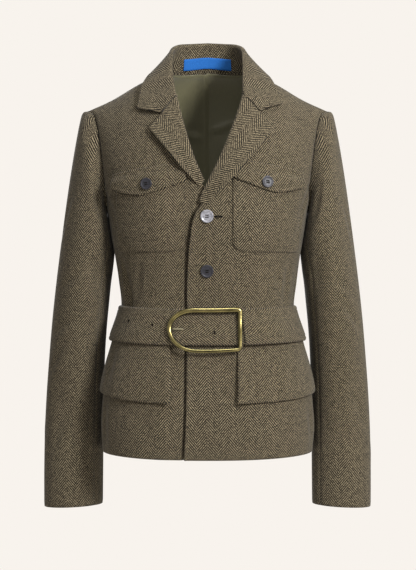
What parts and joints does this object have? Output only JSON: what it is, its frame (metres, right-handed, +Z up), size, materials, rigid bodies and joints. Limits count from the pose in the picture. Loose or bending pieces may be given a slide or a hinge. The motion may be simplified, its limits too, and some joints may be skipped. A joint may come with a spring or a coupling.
{
  "type": "belted blazer",
  "caption": "Belted herringbone tweed blazer with notch lapels, flap pockets and a brass buckle, filled out as worn and open at neck, cuffs and hem.",
  "frame": {"origin": "between the shoulders, at the height where the shoulder seams meet the neck, where the wearer's shoulders hold the blazer up", "axes": "+Z up along the body, -Y to the wearer's front, +X to the wearer's left"},
  "size_m": [0.5144, 0.2385, 0.7291],
  "materials": {
    "tweed": "wool herringbone, matt",
    "satin": "lining satin, soft sheen",
    "ribbon": "woven ribbon, matt",
    "buckle_brass": "antique, polished",
    "pale_horn": "satin",
    "dark_horn": "satin"
  },
  "bodies": {
    "root": {"front_left": "tweed", "front_right": "tweed", "back": "tweed", "sleeve_top_left": "tweed", "sleeve_top_right": "tweed", "sleeve_under_left": "tweed", "sleeve_under_right": "tweed", "collar": "tweed", "lapel_left": "tweed", "lapel_right": "tweed", "breast_pocket_left": "tweed", "breast_pocket_right": "tweed", "breast_flap_left": "tweed", "breast_flap_right": "tweed", "lower_flap_left": "tweed", "lower_flap_right": "tweed", "belt": "tweed", "lining_back": "satin", "label": "ribbon", "buckle_frame": "buckle_brass", "buckle_prong": "buckle_brass", "button_front_upper": "pale_horn", "button_front_lower": "dark_horn", "button_flap_left": "dark_horn", "button_flap_right": "dark_horn"}
  },
  "joints": []
}
